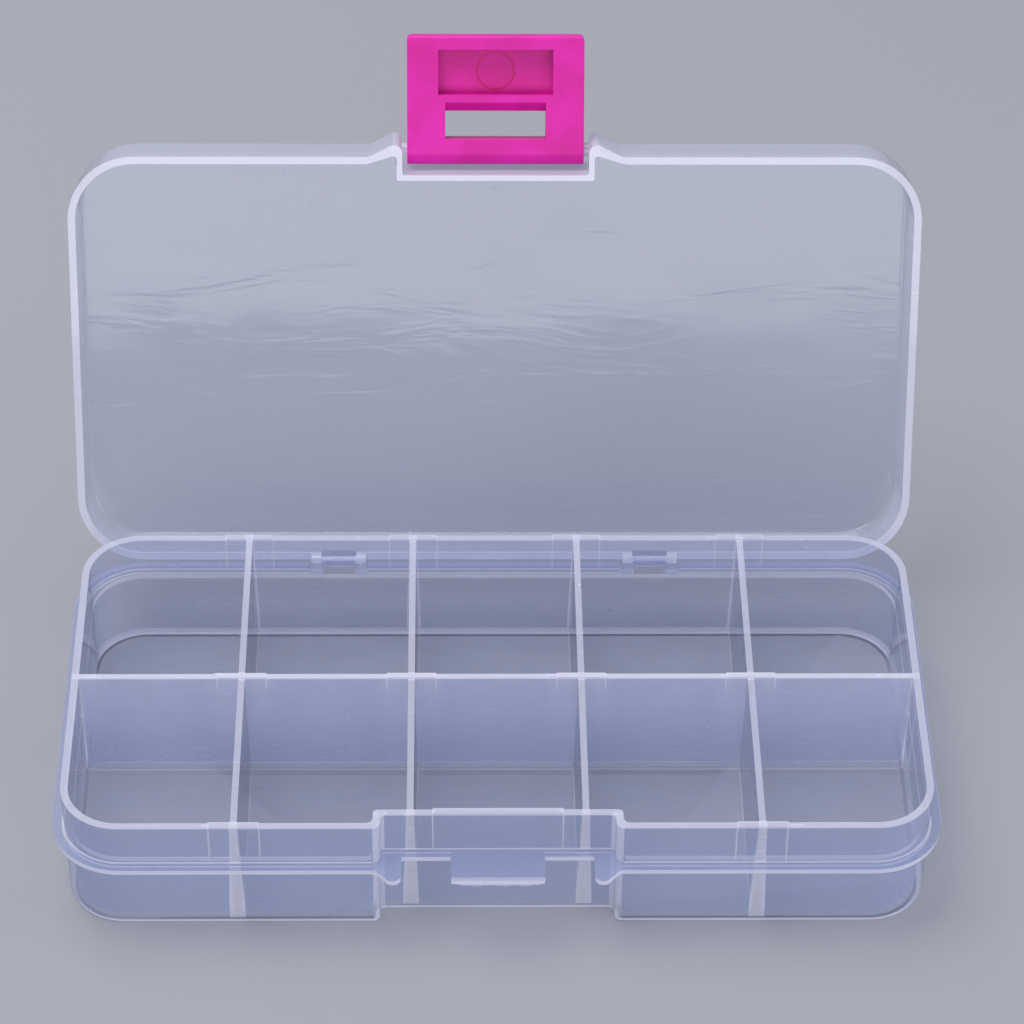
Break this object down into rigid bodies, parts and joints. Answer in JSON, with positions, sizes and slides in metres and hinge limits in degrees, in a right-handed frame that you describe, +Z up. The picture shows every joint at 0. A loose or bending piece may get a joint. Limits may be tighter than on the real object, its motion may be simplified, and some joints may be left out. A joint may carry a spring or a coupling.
{
  "type": "thread spool storage box",
  "caption": "Clear hinged storage box with two rows of small compartments and a magenta snap latch, standing open.",
  "frame": {"origin": "centre of the tray's flat underside", "axes": "+X to the right seen from the latch side, +Y towards the hinges, +Z up"},
  "size_m": [0.1282, 0.1045, 0.0877],
  "materials": {
    "clear_tray": "clear polypropylene, glossy",
    "clear_lid": "clear polypropylene, glossy",
    "magenta": "satin moulded polypropylene"
  },
  "bodies": {
    "tray": {"tray": "clear_tray"},
    "lid": {"lid": "clear_lid"},
    "latch": {"latch": "magenta"}
  },
  "joints": [
    {"name": "lid_hinge", "type": "hinge", "parent": "tray", "child": "lid", "pos_m": [0, 0.03255, 0.013], "axis": [1, 0, 0], "range_deg": [0, 110.8]},
    {"name": "latch_hinge", "type": "hinge", "parent": "lid", "child": "latch", "pos_m": [0, 0.05973, 0.07189], "axis": [1, 0, 0], "range_deg": [0, 99]}
  ]
}
